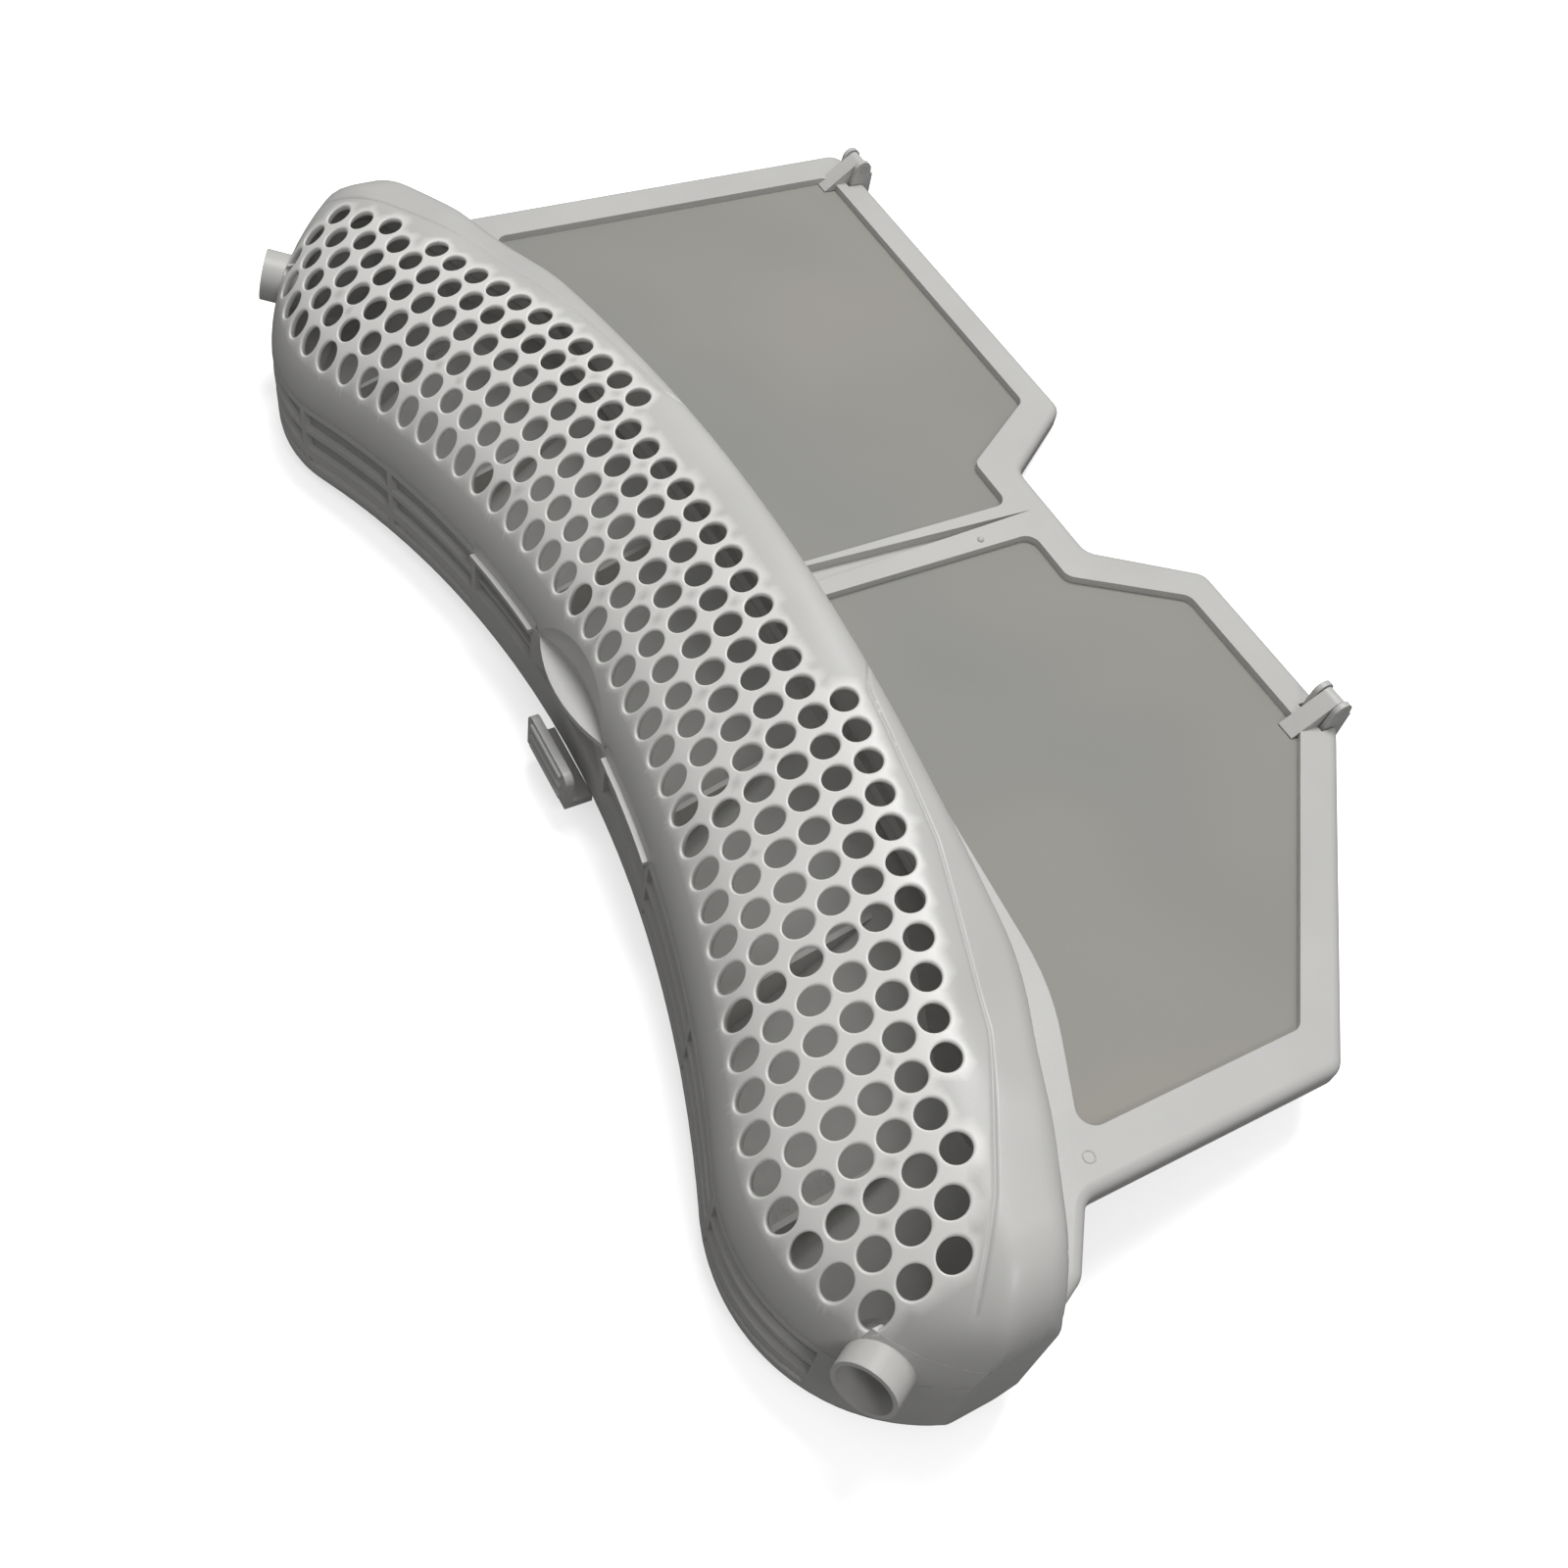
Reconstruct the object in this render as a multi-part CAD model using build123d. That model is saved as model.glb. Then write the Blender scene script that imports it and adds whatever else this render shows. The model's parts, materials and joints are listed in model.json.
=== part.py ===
from build123d import *
import math
import os

os.makedirs("parts", exist_ok=True)

# Two-part lint filter of a tumble dryer. X runs along the length, Y from the finger scoop
# towards the far edge of the screen panel, and Z is up from the panel's top face. At the end
# all pieces are laid down as the filter rests: on the head's low edge and the panel's far edge.

# Head: overall form
HALF_LENGTH = 198.0
WALL = 2.0
GRILLE_RISE = 15.6
PATH_TILT = 18.8
PATH_RADIUS = 346.0
END_RADIUS = 52.0
END_X = 151.0
END_TOP = 11.0
END_ROLL = 20.0
MID_TOP_X = 60.0
MID_TOP = 29.5
EDGE_Y = 36.0
EDGE_BEND_X = 130.0
EDGE_BEND_Y = 27.5
EDGE_END_Y = -4.0
EDGE_BEND_RADIUS = 60.0
EDGE_MID_RADIUS = 1000.0
LIP_ROUND = 5.0

# Head: section, as (Y, Z) from the third row of holes
WALL_Y = -23.0
WALL_TOP = -36.0
SHOULDER = (-8.1, -5.4)
CREST = (29.5, 12.2)
BROW = (66.0, 2.0)
HEAD_BOTTOM = -59.0
SOLE_Y = -9.0
BELLY = (34.0, -24.0)
SOLE_ROUND = 4.0

# Holes of the grille
HOLE_PITCH = 8.68
HOLE_DIAMETER = 6.7
HOLE_SIDES = 8
HOLE_REACH = 9.0
FIRST_COLUMN = 0.5

# Rows of holes: offset from the path, first and last column, lean towards the wall, stretch
ROWS = (
    (-15.3, FIRST_COLUMN, 20.5, 48.0, 1.35),
    (-8.1, FIRST_COLUMN, 20.5, 26.0, 1.1),
    (0.0, FIRST_COLUMN, 20.5, 0.0, 1.0),
    (8.1, FIRST_COLUMN, 19.5, 0.0, 1.0),
    (16.2, FIRST_COLUMN, 18.5, 0.0, 1.0),
    (24.3, 6.5, 16.5, 0.0, 1.0),
)

# Parting of the two halves
PARTING = -31.0
RUN_GAP = 0.3
END_ZONE_X = 180.0
END_PARTING = -8.0

# Slots and rim windows in the front wall
SLOT_COLUMNS = ((57.0, 97.0), (99.0, 136.0), (138.0, 176.0))
SLOT_ROWS = ((-39.0, -33.0), (-47.0, -41.0), (-53.0, -50.5))
RIM_SPAN = (24.0, 55.0)
RIM_HEIGHTS = (-46.0, -33.0)
RIM_BEAD = 1.3
RIM_JOG = 1.8
LOUVRES = (-42.2, -37.6)
LOUVRE_THICK = 1.2
MESH_THICK = 0.5
MESH_LAP = 1.2

# Finger scoop, its ledge, and the latch under it
SCOOP_HALF_WIDTH = 20.0
SCOOP_DEPTH = 3.6
LEDGE_REACH = 4.2
LEDGE_TOP = -31.3
LEDGE_THICK = 1.8
SCOOP_BOTTOM = -44.0
LATCH_X = 4.5
LATCH_WIDTH = 25.0
LATCH_REACH = 8.0
LATCH_THICK = 2.4
LATCH_TOP = -46.5
LATCH_BOTTOM = -59.0
LATCH_FOOT = 2.5
LATCH_CORNER = 3.0
RIDGES = 3
RIDGE_RADIUS = 0.8

# End spigots: the centre of the mouth, and how the axis turns inwards and dips from it
SPIGOT_MOUTH = (188.5, -43.0, -15.6)
SPIGOT_TURN = 28.0
SPIGOT_DIP = 10.0
SPIGOT_BORE = 13.2
SPIGOT_WALL = 1.2
SPIGOT_LENGTH = 12.0

# Screen panel
FRAME_THICK = 4.0
PANEL_FAR_Y = 156.4
PANEL_HALF_WIDTH = 178.0
CORNER_X = 97.0
CORNER_Y = 88.0
NOTCH_TIP_X = 37.3
NOTCH_INNER_X = 17.5
NOTCH_Y = 128.0
SHOULDER_Y = 15.0
STRIP_X = 191.5
STRIP_Y = 4.5
STRIP_END = (195.0, -3.0)
FRAME_SEAT = 4.0
FRAME_EDGE_ROUND = 2.6
REAR_EDGE_CUT = 2.0
FRAME_CORNER_ROUND = 5.0
BORDER = 12.5
RIB_HALF = 6.5
BORDER_FAR = 10.6
WINDOW_MARGIN = 9.5
WINDOW_TIP_X = 43.5
WINDOW_INNER_X = 24.4
WINDOW_INNER_Y = 116.0
WINDOW_ROUND = 4.0
FRONT_MESH_DEPTH = 2.2
WINDOW_CLIP = (93.0, 85.0)
GROOVE_X = -1.8
GROOVE_HALF = 3.4
GROOVE_DEPTH = 2.8
GROOVE_START_Y = 39.0
GROOVE_TIP_Y = 121.0

# Hinge at the far edge
HINGE_XS = (-163.5, 92.5)
HINGE_Y = 154.6
HINGE_Z = 5.0
PIN_DIAMETER = 2.6
PIN_CLEARANCE = 0.05
CHEEK_THICK = 1.6
CHEEK_PITCH = 7.8
CHEEK_ROUND = 3.0
KNUCKLE_ROUND = 2.4
BRACKET_DEPTH = 8.5
WEB_THICK = 1.2
WEB_DROP = 1.5
PARTING_CHAMFER = 1.0
LUG_REACH = 13.0

# Past every surface, for cutters
FAR = 320.0

# For telling edges and corners apart
TINY = 0.05

# Where the head's near side ends and its far side starts, for the parting
SPLIT_Y = -12.0

# Ribs across the floor of the rear shell
RIB_XS = (-146.0, -92.0, -40.0, 40.0, 92.0, 146.0)
RIB_THICK = 1.6
RIB_TOP = -44.0


def block(x0, x1, y0, y1, z0, z1):
    size = (x1 - x0, y1 - y0, z1 - z0)
    middle = ((x0 + x1) / 2, (y0 + y1) / 2, (z0 + z1) / 2)
    return Pos(*middle) * Box(*size)


# The path that every section of the head follows, in a plane tilted about X
path_plane = Plane(
    origin=(0, 0, GRILLE_RISE),
    x_dir=(1, 0, 0),
    z_dir=(0, -math.sin(math.radians(PATH_TILT)), math.cos(math.radians(PATH_TILT))),
)
END_S = math.sqrt((PATH_RADIUS + END_RADIUS) ** 2 - END_X**2) - PATH_RADIUS
JOIN_X = END_X * PATH_RADIUS / (PATH_RADIUS + END_RADIUS)


def path_s(x):
    """How far the path has moved down its tilted plane at a place along the length."""
    if abs(x) < JOIN_X:
        return math.sqrt(PATH_RADIUS**2 - x**2) - PATH_RADIUS
    return END_S - math.sqrt(END_RADIUS**2 - (abs(x) - END_X) ** 2)


def path_point(x):
    return path_plane.from_local_coords((x, path_s(x), 0))


def path_heading(x):
    """The turn of the path seen from above, in degrees."""
    if abs(x) < JOIN_X:
        slope = -x / math.sqrt(PATH_RADIUS**2 - x**2)
    else:
        run = abs(x) - END_X
        slope = math.copysign(run / math.sqrt(END_RADIUS**2 - run**2), x * run)
    return math.degrees(math.atan(slope * math.cos(math.radians(PATH_TILT))))


def head_path():
    arcs = []
    for start, end in ((-HALF_LENGTH, -JOIN_X), (-JOIN_X, JOIN_X), (JOIN_X, HALF_LENGTH)):
        middle = (start + end) / 2
        arcs.append(ThreePointArc(path_point(start), path_point(middle), path_point(end)))
    return Wire(arcs)


PATH = head_path()


def along_path(section):
    """Move a flat section, drawn in Y and Z about the path, along it without turning it."""
    start = path_point(-HALF_LENGTH)
    placed = Plane(origin=start, x_dir=(0, 1, 0), z_dir=(1, 0, 0)) * section
    return sweep(placed, path=PATH, normal=(1, 0, 0))


def strip(y0, y1, z0, z1):
    """A bar of the head between two offsets from the path each way."""
    middle = ((y0 + y1) / 2, (z0 + z1) / 2)
    return along_path(Pos(*middle) * Rectangle(y1 - y0, z1 - z0))


def head_section(inset):
    """The closed outline that the path carries; inset, its sole comes out with plain corners."""
    wall = Line((WALL_Y, HEAD_BOTTOM), (WALL_Y, WALL_TOP))
    shoulder = TangentArc((WALL_Y, WALL_TOP), SHOULDER, tangent=(0, 1))
    crown = TangentArc(SHOULDER, CREST, tangent=shoulder % 1)
    rest = Polyline(
        CREST, BROW, (BROW[0], BELLY[1]), BELLY, (SOLE_Y, HEAD_BOTTOM), (WALL_Y, HEAD_BOTTOM)
    )
    face = make_face([wall, shoulder, crown, rest])
    sole = [v for v in face.vertices() if v.Y < HEAD_BOTTOM + TINY]
    if inset:
        return offset(fillet(sole, inset), amount=-inset, kind=Kind.INTERSECTION)
    return fillet(sole, SOLE_ROUND)


def plan_outline(inset):
    """The head seen from above: its far edge bows out and bends back to each end."""
    far = FilletPolyline(
        (-HALF_LENGTH, EDGE_END_Y),
        (-EDGE_BEND_X, EDGE_BEND_Y),
        (0, EDGE_Y),
        (EDGE_BEND_X, EDGE_BEND_Y),
        (HALF_LENGTH, EDGE_END_Y),
        radius=[EDGE_BEND_RADIUS, EDGE_MID_RADIUS, EDGE_BEND_RADIUS],
    )
    near_y = 4 * WALL_Y
    near = Polyline(
        (HALF_LENGTH, EDGE_END_Y), (HALF_LENGTH, near_y), (-HALF_LENGTH, near_y),
        (-HALF_LENGTH, EDGE_END_Y),
    )
    face = make_face([far, near])
    return offset(face, amount=-inset, kind=Kind.INTERSECTION) if inset else face


def plan_solid(inset):
    return Pos(0, 0, -FAR / 2) * extrude(plan_outline(inset), FAR)


def end_solid(inset):
    """The head seen from the front: its top rolls down at both ends."""
    floor = 3 * HEAD_BOTTOM / 2
    face = make_face(
        Polyline(
            (-HALF_LENGTH, floor), (HALF_LENGTH, floor), (HALF_LENGTH, END_TOP),
            (MID_TOP_X, MID_TOP), (-MID_TOP_X, MID_TOP), (-HALF_LENGTH, END_TOP), close=True
        )
    )
    face = fillet([v for v in face.vertices() if abs(v.Y - END_TOP) < TINY], END_ROLL)
    if inset:
        face = offset(face, amount=-inset, kind=Kind.INTERSECTION)
    return extrude(Plane.XZ * face, 2 * (EDGE_Y + BROW[0]), both=True)


def drum(depth):
    """An upright round over a chord as wide as the scoop; a negative depth bows it outwards."""
    radius = (SCOOP_HALF_WIDTH**2 + depth**2) / (2 * abs(depth))
    centre_y = WALL_Y + depth - math.copysign(radius, depth)
    return centre_y, radius


def scoop(grow):
    """What the fingers push into the wall, over the ledge and under it."""
    centre_y, radius = drum(SCOOP_DEPTH)
    round_face = Pos(0, centre_y) * Circle(radius + grow)
    over = Pos(0, 0, GRILLE_RISE + LEDGE_TOP - grow) * extrude(round_face, FAR)
    under_height = LEDGE_TOP - LEDGE_THICK - SCOOP_BOTTOM + 2 * grow
    under = Pos(0, 0, GRILLE_RISE + SCOOP_BOTTOM - grow) * extrude(round_face, under_height)
    return over, under


def ledge():
    """The lens-shaped shelf that the fingers pull up on."""
    back_y, back_radius = drum(SCOOP_DEPTH)
    front_y, front_radius = drum(-LEDGE_REACH)
    lens = Pos(0, front_y) * Circle(front_radius) & Pos(0, back_y) * Circle(back_radius + WALL / 2)
    return Pos(0, 0, GRILLE_RISE + LEDGE_TOP - LEDGE_THICK) * extrude(lens, LEDGE_THICK)


def head_solid(inset):
    over, under = scoop(inset)
    return along_path(head_section(inset)) & plan_solid(inset) & end_solid(inset) - over - under


OUTER = head_solid(0)
INNER = head_solid(WALL)


def lip_edges(solid):
    """The rim where the crown meets the far wall of the head."""
    inside = plan_solid(WALL / 4)
    found = []
    for edge in solid.edges():
        middle = edge @ 0.5
        high = middle.Y > EDGE_END_Y and middle.Z > 0
        level = edge.length > 2 * LIP_ROUND - 2 and abs((edge % 0.5).Z) < 0.9
        if high and level and not inside.is_inside(middle):
            found.append(edge)
    return found


def shoulder_z(y):
    """Height of the rounded shoulder over the path, at an offset from it."""
    depth, height = SHOULDER[0] - WALL_Y, SHOULDER[1] - WALL_TOP
    radius = (depth**2 + height**2) / (2 * depth)
    return WALL_TOP + math.sqrt(radius**2 - (radius - (y - WALL_Y)) ** 2)


def hole_cutters():
    """Every hole of the grille. The rows on the shoulder lean out and are longer up the slope."""
    round_face = RegularPolygon(HOLE_DIAMETER / 2, HOLE_SIDES, rotation=180 / HOLE_SIDES)
    cutters = []
    for row_y, first, last, lean, stretch in ROWS:
        z = shoulder_z(row_y) if lean else 0
        hole = extrude(scale(round_face, (1, stretch, 1)), HOLE_REACH, both=True)
        for step in range(int(last - first) + 1):
            for side in (-1, 1):
                x = side * (first + step) * HOLE_PITCH
                place = path_point(x) + Vector(0, row_y, z)
                turned = Rot(0, 0, path_heading(x)) * Rot(lean, 0, 0)
                cutters.append(Pos(*place) * turned * hole)
    return cutters


def in_wall(x0, x1, y0, y1, z0, z1):
    """A block between two heights over the path, level with it; Y is from the upright wall."""
    rise, flat = math.sin(math.radians(PATH_TILT)), math.cos(math.radians(PATH_TILT))
    tilted = Pos(0, WALL_Y, GRILLE_RISE) * Rot(PATH_TILT, 0, 0)
    return tilted * block(x0, x1, y0 + z0 * rise, y1 + z1 * rise, z0 * flat, z1 * flat)


def rear_zone(gap, panel_z):
    """Where the rear half of the head is, grown by a gap at the parting."""
    zone = in_wall(-FAR, FAR, -FAR, FAR, -FAR, PARTING + gap)
    zone &= block(-FAR, FAR, -FAR, SPLIT_Y, -FAR, FAR)
    for side in (-1, 1):
        x0, x1 = sorted((side * (RIM_SPAN[0] - RIM_JOG - gap), side * (RIM_SPAN[1] + RIM_JOG + gap)))
        zone += in_wall(x0, x1, -FAR, -SPLIT_Y, PARTING - 1, PARTING + RIM_JOG + gap) & block(
            x0, x1, -FAR, SPLIT_Y, -FAR, FAR
        )
        x0, x1 = sorted((side * (END_ZONE_X - gap), side * FAR))
        zone += block(x0, x1, -FAR, FAR, -FAR, END_PARTING + gap)
    return zone + block(-END_ZONE_X, END_ZONE_X, SPLIT_Y, FAR, -FAR, panel_z)


def front_grille():
    """Crowned cover of the head, with its rows of round holes."""
    skin = fillet(lip_edges(OUTER), LIP_ROUND) - INNER - rear_zone(RUN_GAP, 0)
    for side in (-1, 1):
        skin -= spigot(side, SPIGOT_BORE / 2 + SPIGOT_WALL + RUN_GAP, 0)
    return skin.solids().sort_by(SortBy.VOLUME)[-1].cut(*hole_cutters())


def panel_outline():
    right = [
        (NOTCH_INNER_X, NOTCH_Y),
        (NOTCH_TIP_X, PANEL_FAR_Y),
        (CORNER_X, PANEL_FAR_Y),
        (PANEL_HALF_WIDTH, CORNER_Y),
        (PANEL_HALF_WIDTH, SHOULDER_Y),
        (STRIP_X, STRIP_Y),
        STRIP_END,
    ]
    left = [(-x, y) for x, y in right if x != CORNER_X]
    left[2] = (-PANEL_HALF_WIDTH, PANEL_FAR_Y)
    points = right + left[::-1]
    face = make_face(Polyline(*points, close=True))
    sharp = [v for v in face.vertices() if v.Y > STRIP_END[1] + 1]
    return fillet(sharp, FRAME_CORNER_ROUND) - plan_outline(FRAME_SEAT)


def window(side):
    """A screen window; the right one is clipped like the panel's corner."""
    edge_x = PANEL_HALF_WIDTH - BORDER
    far_y = PANEL_FAR_Y - BORDER_FAR
    clip = [(WINDOW_CLIP[0], far_y), (edge_x, WINDOW_CLIP[1])] if side > 0 else [(edge_x, far_y)]
    points = [(RIB_HALF, 0), (RIB_HALF, WINDOW_INNER_Y), (WINDOW_INNER_X, WINDOW_INNER_Y)]
    points += [(WINDOW_TIP_X, far_y)] + clip + [(edge_x, 0)]
    face = make_face(Polyline(*[(side * x, y) for x, y in points], close=True))
    face = face - plan_outline(-WINDOW_MARGIN)

    def is_sharp(corner):
        upright = min(abs(abs(corner.X) - RIB_HALF), abs(abs(corner.X) - edge_x)) < TINY
        return upright or corner.Y > WINDOW_CLIP[1] - TINY

    return fillet([v for v in face.vertices() if is_sharp(v)], WINDOW_ROUND)


def outer_rim(solid, z):
    """The edges of a frame's outline at one height, without those under the head."""
    inside = plan_solid(-WALL / 2)
    level = [e for e in solid.edges() if abs((e @ 0.5).Z - z) < TINY and abs((e @ 0).Z - z) < TINY]
    return [e for e in level if not inside.is_inside(e @ 0.5)]


def frame_plate(bottom):
    return Pos(0, 0, bottom) * extrude(panel_outline(), FRAME_THICK)


def open_windows(plate):
    for side in (-1, 1):
        plate -= extrude(window(side), 2 * FRAME_THICK + RUN_GAP, both=True)
    return plate


REAR_TOP = -FRAME_THICK - RUN_GAP
REAR_BOTTOM = REAR_TOP - FRAME_THICK + RUN_GAP
BRACKET_BASE = REAR_BOTTOM + REAR_EDGE_CUT
BRACKET_HALF = (CHEEK_PITCH + CHEEK_THICK) / 2
BRACKET_NEAR_Y = HINGE_Y + KNUCKLE_ROUND + RUN_GAP + WEB_THICK - BRACKET_DEPTH


def side_profile(face, x0, x1):
    """Stand a face drawn in Y and Z between two places along the length."""
    return Plane(origin=(x0, 0, 0), x_dir=(0, 1, 0), z_dir=(1, 0, 0)) * extrude(face, x1 - x0)


def hinge_arm(round_radius, near_y, far_y, base_z):
    edges = (Pos(HINGE_Y, HINGE_Z) * Circle(round_radius)).edges()
    return make_hull(edges + Line((near_y, base_z), (far_y, base_z)).edges())


def below_head_ends(grow):
    """Room for the ends of the head, which reach down past the frames."""
    ends = block(-FAR, grow - END_ZONE_X, -FAR, FAR, -FAR, FAR)
    ends += block(END_ZONE_X - grow, FAR, -FAR, FAR, -FAR, FAR)
    return plan_solid(-grow) & ends


def front_frame():
    """Front screen frame, with a lug at each hinge and a tapered groove on its middle rib."""
    plate = frame_plate(-FRAME_THICK)
    plate = open_windows(fillet(outer_rim(plate, 0), FRAME_EDGE_ROUND)) - below_head_ends(0)
    groove = make_face(
        Polyline(
            (GROOVE_X - GROOVE_HALF, GROOVE_START_Y), (GROOVE_X + GROOVE_HALF, GROOVE_START_Y),
            (GROOVE_X, GROOVE_TIP_Y), close=True
        )
    )
    plate -= Pos(0, 0, -GROOVE_DEPTH) * extrude(groove, FRAME_THICK)
    edge = PARTING_CHAMFER
    trim = make_face(
        Polyline(
            (PANEL_FAR_Y - edge, -FRAME_THICK), (PANEL_FAR_Y + edge, -FRAME_THICK),
            (PANEL_FAR_Y + edge, -FRAME_THICK + 2 * edge), close=True
        )
    )
    plate -= side_profile(trim, -PANEL_HALF_WIDTH, PANEL_HALF_WIDTH)
    lug_half = BRACKET_HALF - CHEEK_THICK - RUN_GAP
    for x in HINGE_XS:
        room = BRACKET_HALF + RUN_GAP
        plate -= block(x - room, x + room, BRACKET_NEAR_Y - RUN_GAP, FAR, -FAR, FAR)
        near = HINGE_Y - LUG_REACH
        arm = hinge_arm(KNUCKLE_ROUND, near, BRACKET_NEAR_Y - 2 * RUN_GAP, -FRAME_THICK / 2)
        plate += side_profile(arm, x - lug_half, x + lug_half)
        plate -= hinge_bore(x, PIN_DIAMETER)
    return plate


def hinge_bore(x, diameter):
    return Pos(x, HINGE_Y, HINGE_Z) * Rot(0, 90, 0) * Cylinder(diameter / 2, 2 * BRACKET_HALF)


def rear_frame():
    """Rear screen frame, with a two-cheeked bracket at each hinge."""
    plate = frame_plate(REAR_BOTTOM)
    plate = open_windows(chamfer(outer_rim(plate, REAR_BOTTOM), REAR_EDGE_CUT))
    plate -= block(-FAR, FAR, -FAR, FAR, REAR_TOP, 0) + below_head_ends(RUN_GAP)
    web_y = HINGE_Y + KNUCKLE_ROUND + RUN_GAP
    far_y = web_y + WEB_THICK
    for x in HINGE_XS:
        x0, x1 = x - BRACKET_HALF, x + BRACKET_HALF
        cheek = hinge_arm(CHEEK_ROUND, BRACKET_NEAR_Y, far_y, BRACKET_BASE)
        plate += side_profile(cheek, x0, x0 + CHEEK_THICK)
        plate += side_profile(cheek, x1 - CHEEK_THICK, x1)
        plate += block(x0, x1, web_y, far_y, BRACKET_BASE, HINGE_Z - WEB_DROP)
        plate += block(x0, x1, BRACKET_NEAR_Y, far_y, BRACKET_BASE, REAR_TOP)
        plate -= hinge_bore(x, PIN_DIAMETER + 2 * PIN_CLEARANCE)
    return plate


def spigot_frame(side):
    """Axes at the mouth of an end spigot, with Z running into the head."""
    turn, dip = math.radians(SPIGOT_TURN), math.radians(SPIGOT_DIP)
    inwards = (-side * math.sin(turn) * math.cos(dip), math.cos(turn) * math.cos(dip), -math.sin(dip))
    mouth_x, mouth_y, mouth_z = SPIGOT_MOUTH
    return Plane(origin=(side * mouth_x, mouth_y, mouth_z), z_dir=inwards)


def spigot(side, radius, past):
    rod = Pos(0, 0, SPIGOT_LENGTH / 2) * Cylinder(radius, SPIGOT_LENGTH + 2 * past)
    return spigot_frame(side) * rod


def rear_shell():
    """Lower half of the head: slotted front wall, finger ledge, sloped belly and end spigots."""
    skin = ((OUTER - INNER) & rear_zone(0, REAR_BOTTOM)).solids().sort_by(SortBy.VOLUME)[-1]
    skin = skin - wall_openings() + rim_bars() + floor_ribs() + ledge()
    for side in (-1, 1):
        skin += spigot(side, SPIGOT_BORE / 2 + SPIGOT_WALL, 0)
        skin -= spigot(side, SPIGOT_BORE / 2, RUN_GAP)
    return skin


def wall_places(x0, x1):
    """How far the wall's outer face lies along the tilted plane over a stretch of its length."""
    offsets = [path_s(x) for x in (x0, x1, max(x0, min(x1, END_X)))]
    return min(offsets), max(offsets)


def wall_openings():
    cutters = []
    openings = [(span, row) for span in SLOT_COLUMNS for row in SLOT_ROWS] + [(RIM_SPAN, RIM_HEIGHTS)]
    for (x0, x1), (z0, z1) in openings:
        y0, y1 = wall_places(x0, x1)
        for a, b in ((x0, x1), (-x1, -x0)):
            cutters.append(in_wall(a, b, y0 - WALL, y1 + 2 * WALL, z0, z1))
    return cutters


def rim_bars():
    """The raised lip over each rim window, and two louvres across it."""
    bars = strip(WALL_Y - RIM_BEAD, WALL_Y + WALL, RIM_HEIGHTS[1], RIM_HEIGHTS[1] + RIM_BEAD)
    for z in LOUVRES:
        bars += strip(WALL_Y + WALL / 2, WALL_Y + WALL, z, z + LOUVRE_THICK)
    inner, outer = RIM_SPAN
    lip = RIM_BEAD / 2
    return [
        bars & block(a, b, -FAR, FAR, -FAR, FAR)
        for a, b in ((inner - lip, outer + lip), (-outer - lip, lip - inner))
    ]


def floor_ribs():
    bars = in_wall(-FAR, FAR, -FAR, FAR, -FAR, RIB_TOP) & INNER
    ribs = []
    for x in RIB_XS:
        near = path_point(x).Y + WALL_Y + WALL + 2 * MESH_THICK
        ribs.append(bars & block(x - RIB_THICK / 2, x + RIB_THICK / 2, near, FAR, -FAR, FAR))
    return ribs


def shell_mesh(side):
    back = WALL_Y + WALL
    band = strip(back, back + MESH_THICK, SLOT_ROWS[1][0] - MESH_LAP, SLOT_ROWS[0][1] + MESH_LAP)
    x0, x1 = sorted((side * (RIM_SPAN[0] - MESH_LAP), side * (SLOT_COLUMNS[-1][1] + MESH_LAP)))
    return band & INNER & block(x0, x1, -FAR, FAR, -FAR, FAR)


def screen(side, top):
    return Pos(0, 0, top - MESH_THICK) * extrude(window(side), MESH_THICK)


def latch_tongue():
    """Springy catch under the finger scoop: a foot on the wall and a ridged upright plate."""
    wall = WALL_Y
    front = WALL_Y - LATCH_REACH
    base, top = GRILLE_RISE + LATCH_BOTTOM, GRILLE_RISE + LATCH_TOP
    profile = make_face(
        Polyline(
            (wall, base), (front, base), (front, top), (front + LATCH_THICK, top),
            (front + LATCH_THICK, base + LATCH_FOOT), (wall, base + LATCH_FOOT), close=True
        )
    )
    x0, x1 = LATCH_X - LATCH_WIDTH / 2, LATCH_X + LATCH_WIDTH / 2
    body = side_profile(profile, x0, x1)
    corners = [e for e in body.edges().filter_by(Axis.Y) if abs((e @ 0.5).Z - top) < TINY]
    body = fillet(corners, LATCH_CORNER)
    for step in range(RIDGES):
        z = base + (step + 0.5) * (top - base) / RIDGES
        ridge = Rot(0, 90, 0) * Cylinder(RIDGE_RADIUS, LATCH_WIDTH - 2 * LATCH_CORNER)
        body += Pos(LATCH_X, front, z) * ridge
    return body - OUTER


def hinge_pin(x):
    return hinge_bore(x, PIN_DIAMETER)


NODES = {
    "front_grille": front_grille(),
    "front_frame": front_frame(),
    "front_mesh_left": screen(-1, -FRONT_MESH_DEPTH),
    "front_mesh_right": screen(1, -FRONT_MESH_DEPTH),
    "rear_frame": rear_frame(),
    "rear_mesh_left": screen(-1, REAR_BOTTOM + FRONT_MESH_DEPTH / 2),
    "rear_mesh_right": screen(1, REAR_BOTTOM + FRONT_MESH_DEPTH / 2),
    "rear_shell": rear_shell(),
    "shell_mesh_left": shell_mesh(-1),
    "shell_mesh_right": shell_mesh(1),
    "latch_tongue": latch_tongue(),
    "hinge_pin_left": hinge_pin(HINGE_XS[0]),
    "hinge_pin_right": hinge_pin(HINGE_XS[1]),
}

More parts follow.
